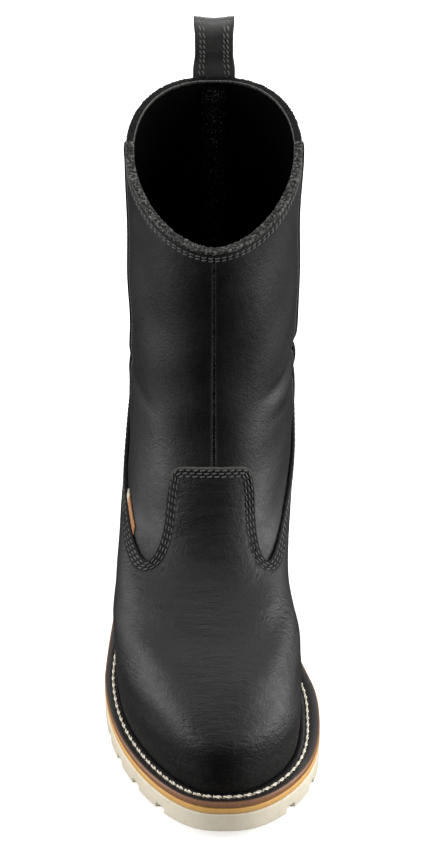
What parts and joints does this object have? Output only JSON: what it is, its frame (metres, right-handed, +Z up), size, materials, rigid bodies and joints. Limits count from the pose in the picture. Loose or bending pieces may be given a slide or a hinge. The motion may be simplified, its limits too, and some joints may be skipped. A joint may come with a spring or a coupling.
{
  "type": "steel toe work boot",
  "caption": "Pull-on leather work boot for the right foot with a steel toe cap, a welted lugged sole, a loose footbed and a pull loop at the back of the topline.",
  "frame": {"origin": "on the ground plane, under the middle of the boot's bounding box", "axes": "+Z up the shaft, -Y from the heel towards the toe, +X towards the inner side of the foot"},
  "size_m": [0.1156, 0.306, 0.321],
  "materials": {
    "shaft_leather": "oiled nubuck, fine grain, low sheen",
    "vamp_leather": "oiled nubuck, creased, low sheen",
    "raw_edge": "cut leather edge, fibrous and matte",
    "pull_leather": "folded strap leather, edge stitched",
    "lining": "black brushed mesh lining",
    "tape": "fuzzy woven seam tape",
    "seam_thread": "bonded black thread",
    "welt": "burnished dark brown welt leather",
    "welt_thread": "waxed cream lockstitch thread",
    "midsole": "tan rubber, buffed edge",
    "outsole": "cream rubber, moulded, satin",
    "steel": "pressed and tempered steel",
    "fibreboard": "pressed fibre board",
    "cork": "ground cork in binder",
    "foam": "closed-cell footbed foam",
    "label": "woven tan tab"
  },
  "bodies": {
    "upper_and_sole": {"outsole": "outsole", "midsole": "midsole", "welt": "welt", "welt_thread": "welt_thread", "insole_rib": "fibreboard", "cork_filler": "cork", "steel_shank": "steel", "shank_rivet_front": "steel", "shank_rivet_rear": "steel", "insole_board": "fibreboard", "foot_lining": "lining", "shaft_lining": "lining", "steel_toe_cap": "steel", "toe_cap_edge_pad": "foam", "vamp_doubler": "vamp_leather", "heel_counter": "fibreboard", "vamp": "vamp_leather", "heel_foxing": "vamp_leather", "shaft_front_medial": "shaft_leather", "shaft_front_lateral": "shaft_leather", "shaft_back_medial": "shaft_leather", "shaft_back_lateral": "shaft_leather", "backstay": "shaft_leather", "back_seam_tape": "tape", "side_piping_medial": "shaft_leather", "side_piping_lateral": "shaft_leather", "front_collar_edge": "raw_edge", "back_collar_edge": "raw_edge", "pull_loop_outer_leg": "pull_leather", "pull_loop_inner_leg": "pull_leather", "side_label": "label"},
    "pull_loop": {"pull_loop": "pull_leather"},
    "footbed": {"footbed": "foam", "footbed_cover": "lining"}
  },
  "joints": [
    {"name": "pull_loop_fold", "type": "hinge", "parent": "upper_and_sole", "child": "pull_loop", "pos_m": [0, 0.135, 0.2885], "axis": [1, 0, 0], "range_deg": [-75, 45], "stiffness_Nm_per_rad": 0.04},
    {"name": "footbed_lift", "type": "hinge", "parent": "upper_and_sole", "child": "footbed", "pos_m": [0, -0.134, 0.034], "axis": [1, 0, 0], "range_deg": [0, 8]}
  ]
}
